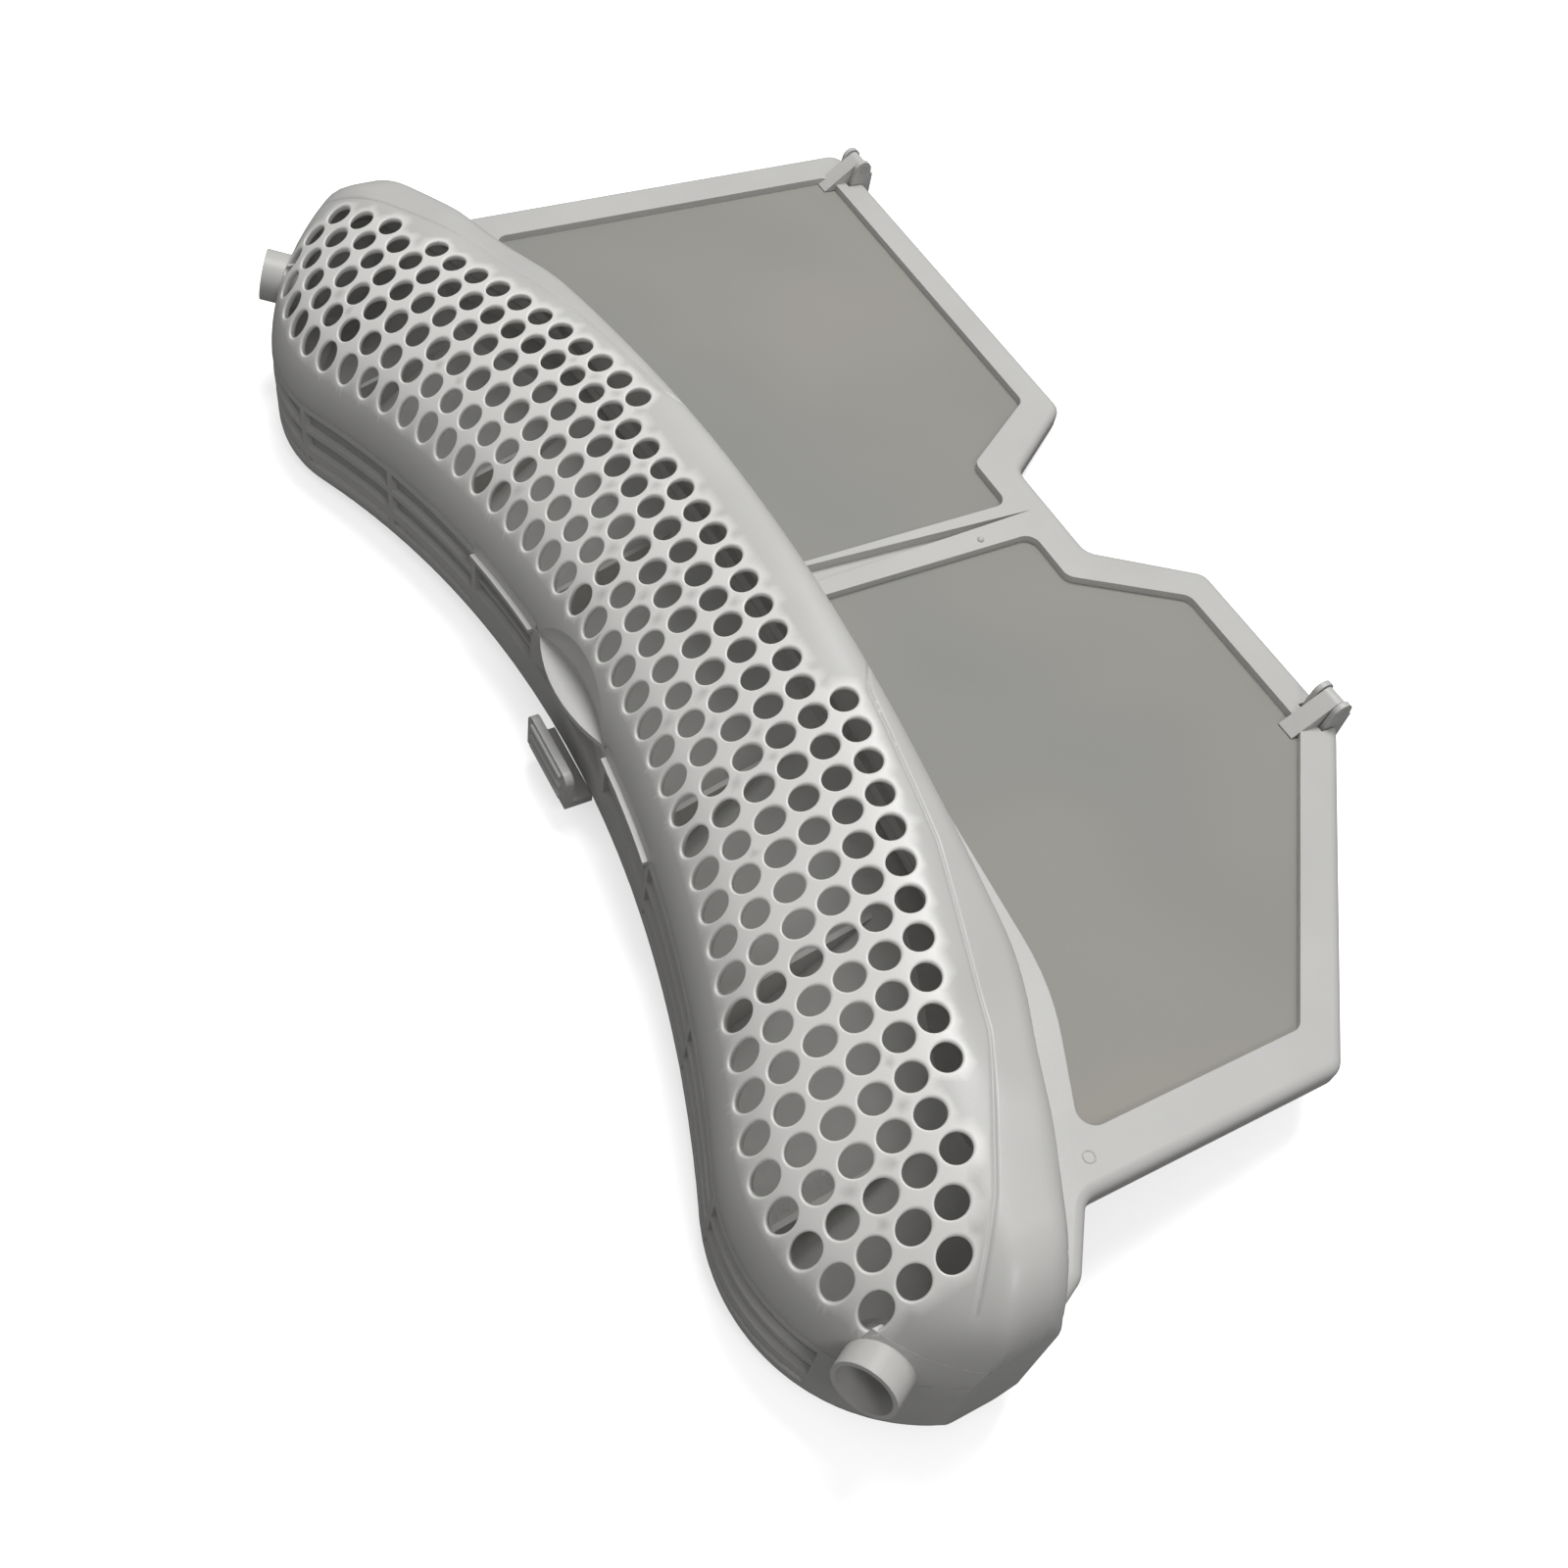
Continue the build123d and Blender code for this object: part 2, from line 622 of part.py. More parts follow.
# The filter lies on the rounded edge of the head's sole and the far edge of the rear frame
low = path_point(END_X)
belly_slope = math.atan2(BELLY[1] - HEAD_BOTTOM, BELLY[0] - SOLE_Y)
heel_y = low.Y + SOLE_Y - SOLE_ROUND * math.tan(belly_slope / 2)
heel_z = low.Z + HEAD_BOTTOM + SOLE_ROUND
toe_y, toe_z = PANEL_FAR_Y - REAR_EDGE_CUT, REAR_BOTTOM
span = math.hypot(toe_y - heel_y, toe_z - heel_z)
LAY_ANGLE = math.degrees(math.atan2(toe_z - heel_z, toe_y - heel_y) + math.asin(SOLE_ROUND / span))
laid = {name: Rot(-LAY_ANGLE, 0, 0) * shape for name, shape in NODES.items()}
boxes = [shape.bounding_box() for shape in laid.values()]
low_y, high_y = min(box.min.Y for box in boxes), max(box.max.Y for box in boxes)
floor_z = min(box.min.Z for box in boxes)
for name, shape in laid.items():
    export_step(Pos(0, -(low_y + high_y) / 2, -floor_z) * shape, f"parts/{name}.step")
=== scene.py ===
import json
import math

import bpy
import numpy as np
from mathutils import Matrix, Vector, geometry


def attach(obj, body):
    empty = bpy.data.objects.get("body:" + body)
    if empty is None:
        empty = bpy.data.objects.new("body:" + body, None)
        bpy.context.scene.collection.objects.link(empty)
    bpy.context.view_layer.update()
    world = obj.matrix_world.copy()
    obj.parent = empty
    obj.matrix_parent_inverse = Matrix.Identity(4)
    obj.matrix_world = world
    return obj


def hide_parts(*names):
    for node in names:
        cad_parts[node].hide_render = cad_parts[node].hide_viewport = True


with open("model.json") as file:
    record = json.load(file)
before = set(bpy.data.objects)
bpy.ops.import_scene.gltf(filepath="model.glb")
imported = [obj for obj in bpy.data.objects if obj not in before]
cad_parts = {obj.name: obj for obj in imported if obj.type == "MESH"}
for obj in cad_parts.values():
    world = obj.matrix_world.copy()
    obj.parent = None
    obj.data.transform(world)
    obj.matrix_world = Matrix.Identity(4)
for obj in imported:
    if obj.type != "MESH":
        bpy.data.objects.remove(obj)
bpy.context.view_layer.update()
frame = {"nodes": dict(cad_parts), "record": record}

MM = 0.001

# The photographed frame and the camera, in the panel's own axes (mm, from the panel's top face)
PICTURE_WIDTH = 1600
FOCAL_PIXELS = 1640
CAMERA_AT = (243.8, -145.4, 307.2)
CAMERA_RIGHT = (0.4715, 0.870, 0.146)
CAMERA_DOWN = (0.742, -0.302, -0.598)
SENSOR = 36.0

# Head of the filter, the same sizes as in the solids (mm)
HALF_LENGTH = 198.0
WALL = 2.0
GRILLE_RISE = 15.6
PATH_TILT = math.radians(18.8)
PATH_RADIUS = 346.0
END_RADIUS = 52.0
END_X = 151.0
END_TOP = 11.0
END_ROLL = 20.0
MID_TOP_X = 60.0
MID_TOP = 29.5
EDGE_POINTS = ((0.0, 36.0), (130.0, 27.5), (198.0, -4.0))
EDGE_BEND_RADIUS = 60.0
EDGE_MID_RADIUS = 1000.0
LIP_ROUND = 5.0
WALL_Y = -23.0
WALL_TOP = -36.0
SHOULDER = (-8.1, -5.4)
CREST = (29.5, 12.2)
BROW = (66.0, 2.0)
PARTING = -31.0
RUN_GAP = 0.3
END_PARTING = -8.0
END_ZONE_X = 180.0
RIM_SPAN = (24.0, 55.0)
RIM_JOG = 1.8
SCOOP_HALF_WIDTH = 20.0
SCOOP_DEPTH = 3.6
SPIGOT_TURN = math.radians(28.0)
SPIGOT_DIP = math.radians(10.0)
HINGE_Y = 154.6
HINGE_Z = 5.0

# Holes: offset of each row, first and last column, lean, stretch up the slope
HOLE_PITCH = 8.68
HOLE_RADIUS = 3.35
ROWS = (
    (-15.3, 0.5, 20.5, math.radians(48.0), 1.35),
    (-8.1, 0.5, 20.5, math.radians(26.0), 1.1),
    (0.0, 0.5, 20.5, 0.0, 1.0),
    (8.1, 0.5, 19.5, 0.0, 1.0),
    (16.2, 0.5, 18.5, 0.0, 1.0),
    (24.3, 6.5, 16.5, 0.0, 1.0),
)

# Detail of the moulded skin (mm)
EASE_RADIUS = 0.65
EASE_ANGLES = (30.0, 60.0, 90.0)
WING_LINE = ((49.0, 31.0), (56.0, 26.5), (98.0, 21.0), (142.0, 8.4), (172.0, -9.0), (189.0, -22.0))
LINE_DEPTH = 0.5
LINE_WIDTH = 0.45
CREASE_BLEND = 1.5
LIP_SHARE = 0.55
LEAST_HEIGHT = 0.1
NOTCH_AT = (49.6, 33.6)
NOTCH_DEPTH = 1.3
NOTCH_WIDTH = 0.8

# Inner face of the skin (mm): straight down under the crown, square in by the wall and borders
DROP_START = -6.0
DROP_BLEND = 8.0
SQUARE_FAR = 3.0
SQUARE_END = 4.0
LEAST_COSINE = 0.5
BORDER_DROP = 0.3

# Outer border (mm): how near the wall's edge a point counts as on it, and the least skirt
WALL_TOUCH = 0.01
LEAST_SKIRT = 0.02

# How finely the skin is drawn: counts, and steps and insets in mm
HOLE_SIDES = 28
BEND_STEPS = 24
MIDDLE_STEPS = 40
WALL_POINTS = 265
END_POINTS = 14
WALL_ROUNDS = 6
SLOPE_STEP = 0.05
HOLE_PROBE = 0.1
FAR_STEP = 4.0
FAR_FINE_STEP = 2.0
WING_STEP = 3.0
WING_FINE_STEP = 1.2
WALL_INSETS = (0.12, 0.35, 0.8, 1.5, 2.4, 3.4)
FAR_INSETS = (0.05, 0.2, 0.5, 1.0, 1.7, 2.6, 3.7, 4.8, 6.2)
END_INSETS = (0.08, 0.35, 0.9, 1.7, 2.8, 4.2, 6.0, 8.2, 10.8, 13.8)
WING_OFFSETS = (0, 0.3, -0.3, 0.65, -0.65, 1.1, -1.1)
END_ROW_SPAN = (-52.0, 12.0)
END_ROW_STEP = 2.0
ROW_MARGIN = 0.35
ROW_SPACING = 0.22
GRID_STEP = 2.6
GRID_MARGIN = 0.8
GRID_HALF_LENGTH = 197
GRID_SPAN = (-52, 36)
MERGE_DISTANCE = 1e-5
# Middles of triangles outside a ring are past 0.993 of its radius, slivers inside it under 0.984
RING_SHARE = 0.989

# Small marks on the panel (mm)
GATE_MARK = (170.5, 20.5, 0.0)
GATE_RADIUS = 1.4
NUB = (3.5, 100.0, -0.2)
NUB_RADIUS = 1.1
GATE_BEAD = 0.15 * GATE_RADIUS

# Looks: tones as linear colours, texture scales per metre, depths in metres
PLASTIC_TONE = (0.545, 0.54, 0.525)
FRAME_SHARE = 0.985
PIN_SHARE = 0.93
SCREEN_TONE = (0.295, 0.29, 0.268)
SLOT_SCREEN_TONE = (0.42, 0.42, 0.40)
# Painted highlight on the hole rims: the base colour is raised by this factor on the rounded
# mouths, and by the share below at each mouth's outer edge
RIM_HIGHLIGHT_BRIGHTNESS = 1.5
RIM_HIGHLIGHT_EDGE_SHARE = 0.7
CLOUD_SCALE = 22.0
CLOUD_RANGE = (0.965, 1.03)
WEAR_SCALE = 60.0
WEAR_DETAIL = 4.0
ROUGHNESS_RANGE = (0.34, 0.46)
GRAIN_SCALE = 1800.0
GRAIN_DETAIL = 2.0
GRAIN_STRENGTH = 0.22
BUMP_DEPTH = 0.0001
EDGE_ROUND = 0.0003
PIN_EDGE_ROUND = 0.0001
DRIFT_SCALE = 9.0
DRIFT_DETAIL = 2.0
DRIFT_LOW = (0.89, 0.91, 0.95)
DRIFT_HIGH = (1.09, 1.07, 1.04)
THREAD_SCALE = 1000.0
THREAD_STRENGTH = 0.25
SCREEN_ROUGHNESS = 0.62
SCREEN_SHINE = 0.35

# Stage: half the floor's width and places in metres, light in watts
FLOOR_HALF_WIDTH = 3.0
FLOOR_BOUNCE = 0.16
FLOOR_WHITE = 0.98
FLOOR_GLOW = 0.6
FLOOR_ROUGHNESS = 0.9
SKY_ON_PART = 0.29
LIGHT_AIM = (0, 0, 0.03)


# Where the panel's own axes lie in the resting frame: turned as the spigot, placed by the hinge
mounts = {mount["name"]: mount for mount in frame["record"]["mounts"]}
joints = {joint["name"]: joint for joint in frame["record"]["behaviour"]["joints"]}
_, spigot_y, spigot_z = mounts["spigot_right"]["axis"]
aim = math.atan2(math.sin(SPIGOT_DIP), -math.cos(SPIGOT_TURN) * math.cos(SPIGOT_DIP))
TURN = Matrix.Rotation(math.atan2(spigot_z, spigot_y) - aim, 3, "X")
SHIFT = Vector(joints["book_hinge"]["pos_m"]) - TURN @ Vector((0, HINGE_Y, HINGE_Z)) * MM


def placed(point):
    """A point of the panel's axes (mm) in the resting frame (m)."""
    return TURN @ Vector(point) * MM + SHIFT


def placed_all(points):
    return np.asarray(points) @ np.array(TURN).T * MM + np.array(SHIFT)


# Height of the crowned skin over the panel's plane
END_S = math.sqrt((PATH_RADIUS + END_RADIUS) ** 2 - END_X**2) - PATH_RADIUS
JOIN_X = END_X * PATH_RADIUS / (PATH_RADIUS + END_RADIUS)


def path_s(x):
    """How far the head's path has bent back from its middle, in the path's tilted plane."""
    x = np.abs(x)
    long_arc = np.sqrt(PATH_RADIUS**2 - np.minimum(x, JOIN_X) ** 2) - PATH_RADIUS
    run = np.minimum(x, HALF_LENGTH) - END_X
    end_arc = END_S - np.sqrt(np.maximum(END_RADIUS**2 - run**2, 0))
    return np.where(x < JOIN_X, long_arc, end_arc)


def path_y(x):
    return path_s(x) * math.cos(PATH_TILT)


def path_z(x):
    return GRILLE_RISE + path_s(x) * math.sin(PATH_TILT)


def tangent_arc(start, end, direction):
    """Centre and radius of the arc from start along direction to end, bending to the right."""
    normal = np.array((direction[1], -direction[0]))
    chord = np.subtract(end, start)
    radius = chord @ chord / (2 * chord @ normal)
    return np.add(start, normal * radius), radius


WALL_ARC = tangent_arc((WALL_Y, WALL_TOP), SHOULDER, (0.0, 1.0))
spoke = np.subtract(SHOULDER, WALL_ARC[0]) / WALL_ARC[1]
CROWN_ARC = tangent_arc(SHOULDER, CREST, (spoke[1], -spoke[0]))


def arc_height(arc, y):
    """Height of the upper side of an arc."""
    (cy, cz), radius = arc
    return cz + np.sqrt(np.maximum(radius**2 - (y - cy) ** 2, 0))


def soft_min(a, b):
    """The lower of two heights, with the crease between them blended."""
    return 0.5 * (a + b - np.sqrt((a - b) ** 2 + CREASE_BLEND**2))


def section_z(y):
    """Height of the cross section over the path: wall, shoulder and crown, then the flat brow."""
    slope = (BROW[1] - CREST[1]) / (BROW[0] - CREST[0])
    outer = CREST[1] + slope * (y - CREST[0])
    inner = np.where(y < SHOULDER[0], arc_height(WALL_ARC, y), arc_height(CROWN_ARC, y))
    return soft_min(inner, outer)


def end_z(x):
    """Height of the roll-down that closes the head towards its ends."""
    x = np.abs(x)
    slope = (END_TOP - MID_TOP) / (HALF_LENGTH - MID_TOP_X)
    line = MID_TOP + slope * (np.maximum(x, MID_TOP_X) - MID_TOP_X)
    length = math.hypot(1, slope)
    cx = HALF_LENGTH - END_ROLL
    cz = MID_TOP + slope * (cx - MID_TOP_X) - END_ROLL * length
    roll = cz + np.sqrt(np.maximum(END_ROLL**2 - (x - cx) ** 2, 0))
    return np.where(x < cx - END_ROLL * slope / length, line, roll)


def rounded_corner(before, corner, after, radius, steps):
    """Points of the arc that rounds one corner of an outline."""
    before, corner, after = (np.array(p, float) for p in (before, corner, after))
    a = (before - corner) / np.linalg.norm(before - corner)
    b = (after - corner) / np.linalg.norm(after - corner)
    half = math.acos(np.clip(a @ b, -1, 1)) / 2
    centre = corner + (a + b) / np.linalg.norm(a + b) * radius / math.sin(half)
    start = corner + a * radius / math.tan(half) - centre
    end = corner + b * radius / math.tan(half) - centre
    turn = math.atan2(start[0] * end[1] - start[1] * end[0], start @ end)
    cos, sin = (f(np.linspace(0, turn, steps)) for f in (np.cos, np.sin))
    x, y = centre[0] + start[0] * cos - start[1] * sin, centre[1] + start[0] * sin + start[1] * cos
    return np.column_stack((x, y))


def resampled(points, step):
    """A chain of points drawn again with even steps."""
    points = np.asarray(points, float)
    lengths = np.concatenate(([0], np.cumsum(np.linalg.norm(np.diff(points, axis=0), axis=1))))
    at = np.linspace(0, lengths[-1], max(2, int(round(lengths[-1] / step)) + 1))
    return np.column_stack([np.interp(at, lengths, points[:, k]) for k in range(2)])


def far_edge(step):
    """The head's far outline in plan, from the left end to the right end."""
    middle, bend, end = EDGE_POINTS
    left_end, left_bend = ((-x, y) for x, y in (end, bend))
    pieces = [
        [left_end],
        rounded_corner(left_end, left_bend, middle, EDGE_BEND_RADIUS, BEND_STEPS),
        rounded_corner(left_bend, middle, bend, EDGE_MID_RADIUS, MIDDLE_STEPS),
        rounded_corner(middle, bend, end, EDGE_BEND_RADIUS, BEND_STEPS),
        [end],
    ]
    return resampled(np.vstack(pieces), step)


def distance_to(line, points):
    """Shortest distance from each point to a chain of points."""
    best = np.full(len(points), np.inf)
    for start, leg in zip(line[:-1], line[1:] - line[:-1]):
        t = np.clip(((points - start) @ leg) / (leg @ leg), 0, 1)
        best = np.minimum(best, np.linalg.norm(points - start - t[:, None] * leg, axis=1))
    return best


FAR_EDGE = far_edge(FAR_STEP)
wing_right = resampled(WING_LINE, WING_STEP)
WING_EDGES = [wing_right, wing_right * (-1, 1)]


def skirt_bottom(x):
    """Height of the cover's lower edge on its far side and ends."""
    return np.where(np.abs(x) < END_ZONE_X, 0.0, END_PARTING + RUN_GAP)


def skin_z(points):
    """Height of the moulded skin at points of the plan, with its lip, scored lines and notches."""
    x, y = points[:, 0], points[:, 1]
    height = soft_min(path_z(x) + section_z(y - path_y(x)), end_z(x))
    near = distance_to(FAR_EDGE, points)
    lip = np.minimum(LIP_ROUND, LIP_SHARE * np.maximum(height - skirt_bottom(x), LEAST_HEIGHT))
    depth = np.clip(1 - near / lip, 0, 1)
    height = height - lip * (1 - np.sqrt(1 - depth**2))
    for line in WING_EDGES:
        height = height - LINE_DEPTH * np.exp(-((distance_to(line, points) / LINE_WIDTH) ** 2))
    from_notch = np.hypot(np.abs(x) - NOTCH_AT[0], y - NOTCH_AT[1])
    return height - NOTCH_DEPTH * np.exp(-((from_notch / NOTCH_WIDTH) ** 2))


def skin_normals(points):
    along_x, along_y = (SLOPE_STEP, 0), (0, SLOPE_STEP)
    slope_x = (skin_z(points + along_x) - skin_z(points - along_x)) / (2 * SLOPE_STEP)
    slope_y = (skin_z(points + along_y) - skin_z(points - along_y)) / (2 * SLOPE_STEP)
    normals = np.column_stack((-slope_x, -slope_y, np.ones(len(points))))
    return normals / np.linalg.norm(normals, axis=1)[:, None]


def parting_z(x, y):
    """Height of the cover's lower edge on the wall side: a plane that holds the path's tilt."""
    in_rim = np.abs(np.abs(x) - sum(RIM_SPAN) / 2) < (RIM_SPAN[1] - RIM_SPAN[0]) / 2 + RIM_JOG
    rise = GRILLE_RISE + PARTING + RUN_GAP + np.where(in_rim, RIM_JOG, 0)
    return rise + math.tan(PATH_TILT) * (y - WALL_Y)


def wall_edge_y(x):
    """Where the skin's lower edge runs along the front wall and the finger scoop, in plan."""
    (cy, cz), radius = WALL_ARC
    y = path_y(x) + WALL_Y
    for _ in range(WALL_ROUNDS):
        z = parting_z(x, y) - path_z(x)
        y = path_y(x) + cy - np.sqrt(radius**2 - (z - cz) ** 2)
    scoop = (SCOOP_HALF_WIDTH**2 + SCOOP_DEPTH**2) / (2 * SCOOP_DEPTH)
    inside = np.abs(x) < SCOOP_HALF_WIDTH
    drum = WALL_Y + SCOOP_DEPTH - scoop + np.sqrt(scoop**2 - np.where(inside, x, 0) ** 2)
    return np.where(inside, np.maximum(y, drum), y)


class Hole:
    """One hole of the grille, as an ellipse in plan with the way that it runs into the skin."""

    def __init__(self, x, row_y, lean, stretch):
        self.centre = np.array((x, float(path_y(x)) + row_y))
        step = HOLE_PROBE
        heading = math.atan2(float(path_y(x + step) - path_y(x - step)), 2 * step)
        self.along = np.array((math.cos(heading), math.sin(heading)))
        self.across = np.array((-self.along[1], self.along[0]))
        rise = float(section_z(row_y + step) - section_z(row_y - step))
        slope = math.atan(rise / (2 * step))
        self.narrow = stretch * math.cos(slope) / math.cos(slope - lean) if lean else 1.0
        self.axis = np.array((*(-self.across * math.sin(lean)), math.cos(lean)))

    def ring(self, radius):
        angles = np.arange(HOLE_SIDES)[:, None] * 2 * math.pi / HOLE_SIDES
        spokes = np.cos(angles) * self.along + np.sin(angles) * self.across * self.narrow
        return self.centre + radius * spokes

    def reach(self, points):
        """How far each point is from the centre, measured in plan against the ellipse."""
        off = points - self.centre
        return np.hypot(off @ self.along, off @ self.across / self.narrow)


def all_holes():
    holes = []
    for row_y, first, last, lean, stretch in ROWS:
        for step in range(int(last - first) + 1):
            x = (first + step) * HOLE_PITCH
            holes += [Hole(x, row_y, lean, stretch), Hole(-x, row_y, lean, stretch)]
    return holes


class Sheet:
    """Collects well-spaced plan points, in order of importance."""

    def __init__(self):
        self.points = []
        self.cells = {}

    def add(self, points, spacing):
        for x, y in points:
            i, j = int(math.floor(x)), int(math.floor(y))
            around = [(i + a, j + b) for a in (-1, 0, 1) for b in (-1, 0, 1)]
            near = [p for cell in around for p in self.cells.get(cell, ())]
            if all((px - x) ** 2 + (py - y) ** 2 >= spacing**2 for px, py in near):
                self.cells.setdefault((i, j), []).append((x, y))
                self.points.append((x, y))


def shifted_in(line, distance):
    """A chain of points moved to its right-hand side by a distance."""
    along = np.gradient(line, axis=0)
    along /= np.linalg.norm(along, axis=1)[:, None]
    return line + distance * np.column_stack((along[:, 1], -along[:, 0]))


def inside_polygon(points, outline):
    x, y = points[:, 0], points[:, 1]
    inside = np.zeros(len(points), bool)
    for (x0, y0), (x1, y1) in zip(outline, np.roll(outline, -1, axis=0)):
        if y0 != y1:
            at = (x1 - x0) * (y - y0) / (y1 - y0) + x0
            inside ^= ((y0 > y) != (y1 > y)) & (x < at)
    return inside


def skin_outline():
    """Plan outline of the skin: wall edge with the scoop, right end, far edge, left end."""
    wall_x = np.linspace(-HALF_LENGTH, HALF_LENGTH, WALL_POINTS)
    wall = np.column_stack((wall_x, wall_edge_y(wall_x)))
    far = far_edge(FAR_FINE_STEP)[::-1]
    right_y = np.linspace(wall[-1][1], far[0][1], END_POINTS)[1:-1]
    right = np.column_stack((np.full(len(right_y), HALF_LENGTH), right_y))
    return wall, right, far, right[::-1] * (-1, 1)


def graded_points(wall, far):
    """Rows of points close to the steep borders and along the scored lines."""
    rows = [wall + (0, inset) for inset in WALL_INSETS]
    rows += [shifted_in(far, -inset) for inset in FAR_INSETS]
    y = np.arange(*END_ROW_SPAN, END_ROW_STEP)
    for inset in END_INSETS:
        x = np.full(len(y), HALF_LENGTH - inset)
        rows += [np.column_stack((x, y)), np.column_stack((-x, y))]
    for line in WING_EDGES:
        fine = resampled(line, WING_FINE_STEP)
        rows += [shifted_in(fine, offset) for offset in WING_OFFSETS]
    return rows


def skin_plan(holes):
    """Triangles of the skin in plan, with an open ring of corners round every hole."""
    wall, right, far, left = skin_outline()
    outline = np.vstack((wall, right, far, left))
    ring_radius = HOLE_RADIUS + EASE_RADIUS
    sheet = Sheet()
    sheet.add(outline, 0.0)
    edges = [(i, (i + 1) % len(outline)) for i in range(len(outline))]
    for hole in holes:
        start = len(sheet.points)
        sheet.add(hole.ring(ring_radius), 0.0)
        edges += [(start + i, start + (i + 1) % HOLE_SIDES) for i in range(HOLE_SIDES)]

    def clear(candidates, margin):
        candidates = candidates[inside_polygon(candidates, outline)]
        away = [hole.reach(candidates) > ring_radius + margin for hole in holes]
        return candidates[np.all(away, axis=0)]

    for row in graded_points(wall, far):
        sheet.add(clear(row, ROW_MARGIN), ROW_SPACING)
    grid_x, grid_y = np.meshgrid(
        np.arange(-GRID_HALF_LENGTH, GRID_HALF_LENGTH, GRID_STEP),
        np.arange(*GRID_SPAN, GRID_STEP * math.sqrt(3) / 2),
    )
    grid_x[::2] += GRID_STEP / 2
    grid = np.column_stack((grid_x.ravel(), grid_y.ravel()))
    sheet.add(clear(grid, GRID_MARGIN), GRID_STEP / 2)

    corners = [Vector(p) for p in sheet.points]
    found = geometry.delaunay_2d_cdt(corners, edges, [], 1, MERGE_DISTANCE)
    verts = np.array([tuple(v) for v in found[0]])
    faces = np.array([f for f in found[2] if len(f) == 3])
    middles = verts[faces].mean(axis=1)
    keep = np.all([hole.reach(middles) > ring_radius * RING_SHARE for hole in holes], axis=0)
    return verts, faces[keep]


def boundary_loops(faces):
    """Chains of edges that only one triangle uses, in the order the triangles give them."""
    edges = {edge for a, b, c in faces for edge in ((a, b), (b, c), (c, a))}
    follow = {a: b for a, b in edges if (b, a) not in edges}
    loops = []
    while follow:
        start, here = follow.popitem()
        loop = [start]
        while here != start:
            loop.append(here)
            here = follow.pop(here)
        loops.append(loop)
    return loops


class Shell:
    """A mesh that is built face by face, each face with the normals of its corners."""

    def __init__(self):
        # Per point: how much of the painted highlight on the hole rims it gets
        self.points, self.faces, self.normals, self.rim_highlight = [], [], [], []

    def add_points(self, points, rim_highlight=0.0):
        start = len(self.points)
        self.points += [tuple(float(c) for c in p) for p in points]
        self.rim_highlight += [rim_highlight] * len(points)
        return list(range(start, len(self.points)))

    def add_face(self, corners, normals):
        self.faces.append(tuple(int(c) for c in corners))
        self.normals += [tuple(float(c) for c in n) for n in normals]

    def bridge(self, upper, lower, upper_normals=None, lower_normals=None):
        """Join two matching loops; without normals each quad is flat."""
        for i in range(len(upper)):
            j = (i + 1) % len(upper)
            corners = (upper[i], lower[i], lower[j], upper[j])
            if upper_normals is None:
                a, b, c, d = (np.array(self.points[k]) for k in corners)
                flat = np.cross(c - a, d - b)
                flat /= max(np.linalg.norm(flat), 1e-9)
                self.add_face(corners, (flat,) * 4)
            else:
                smooth = (upper_normals[i], lower_normals[i], lower_normals[j], upper_normals[j])
                self.add_face(corners, smooth)


def border_inwards(plan):
    """Level directions from an outer border, run anticlockwise, into the sheet."""
    run = np.roll(plan, -1, axis=0) - np.roll(plan, 1, axis=0)
    inwards = np.column_stack((-run[:, 1], run[:, 0], np.zeros(len(plan))))
    return inwards / np.linalg.norm(inwards, axis=1)[:, None]


def under_skin(verts, top, normals):
    """The inner face: straight in from the wall and borders, straight down under the crown."""
    offset = verts[:, 1] - path_y(verts[:, 0])
    blend = np.clip((offset - DROP_START) / DROP_BLEND, 0, 1)
    by_far_edge = distance_to(FAR_EDGE, verts) < SQUARE_FAR
    by_end = np.abs(verts[:, 0]) > HALF_LENGTH - SQUARE_END
    blend[by_far_edge | by_end] = 0
    way = (1 - blend)[:, None] * normals + blend[:, None] * (0, 0, 1)
    way /= np.linalg.norm(way, axis=1)[:, None]
    return top - way * (WALL / np.maximum((way * normals).sum(axis=1), LEAST_COSINE))[:, None]


def grille_cover():
    """The perforated cover as one closed skin with eased round holes."""
    holes = all_holes()
    verts, faces = skin_plan(holes)
    loops = boundary_loops(faces)
    border = max(loops, key=len)
    inwards = border_inwards(verts[border])
    normals = skin_normals(verts)
    off_scoop = np.abs(verts[border][:, 0]) > SCOOP_HALF_WIDTH
    normals[border] = np.where(off_scoop[:, None], -inwards, normals[border])
    top = np.column_stack((verts, skin_z(verts)))
    inner = under_skin(verts, top, normals)
    inner[border] = top[border] + inwards * WALL - (0, 0, BORDER_DROP)
    shell = Shell()
    upper = shell.add_points(top)
    under = shell.add_points(inner)
    for a, b, c in faces:
        shell.add_face((upper[a], upper[b], upper[c]), normals[[a, b, c]])
        shell.add_face((under[a], under[c], under[b]), -normals[[a, c, b]])
    centres = np.array([hole.centre for hole in holes])
    for loop in loops:
        below = [under[i] for i in loop]
        if len(loop) == HOLE_SIDES:
            # The skin's edge round each hole mouth gets part of the painted rim highlight
            for i in loop:
                shell.rim_highlight[i] = RIM_HIGHLIGHT_EDGE_SHARE
            hole = holes[np.argmin(np.linalg.norm(centres - verts[loop].mean(axis=0), axis=1))]
            ease_hole(shell, hole, verts[loop], normals[loop], loop, below)
        else:
            close_border(shell, verts[loop], top[loop], loop, below)
    return shell


